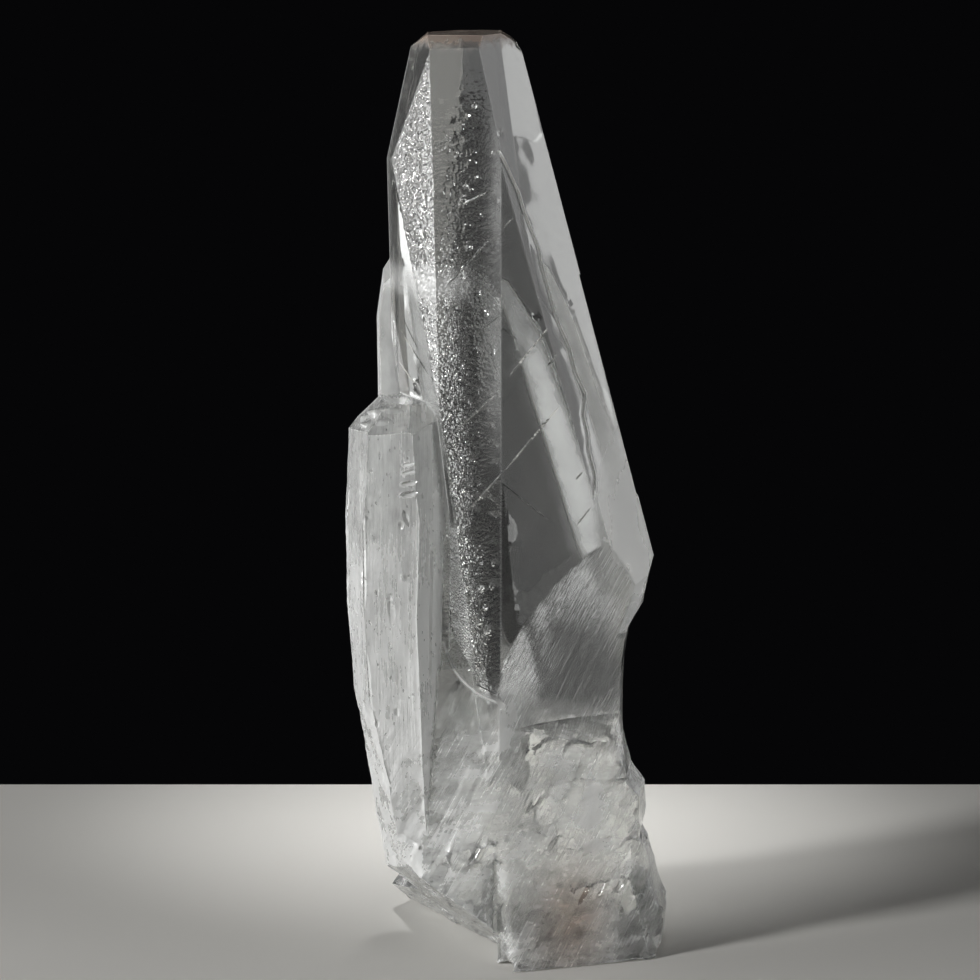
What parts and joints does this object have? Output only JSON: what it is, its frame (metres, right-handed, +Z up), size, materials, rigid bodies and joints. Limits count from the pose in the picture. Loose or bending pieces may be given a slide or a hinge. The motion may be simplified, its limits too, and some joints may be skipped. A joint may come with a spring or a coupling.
{
  "type": "calcite crystal specimen",
  "caption": "Tall clear calcite crystal, flat-topped and tapering, with a shorter frosted crystal grown against its side and a broken base that it stands on.",
  "frame": {"origin": "centre of the foot's underside plane, under the middle of the bounding box", "axes": "+Z up the main crystal, -Y towards the etched front face, +X to the right of someone who faces it"},
  "size_m": [0.034, 0.0318, 0.0958],
  "materials": {
    "calcite": "clear natural calcite, glossy growth faces, etched and frosted in places"
  },
  "bodies": {
    "root": {"calcite_crystal": "calcite"}
  },
  "joints": []
}
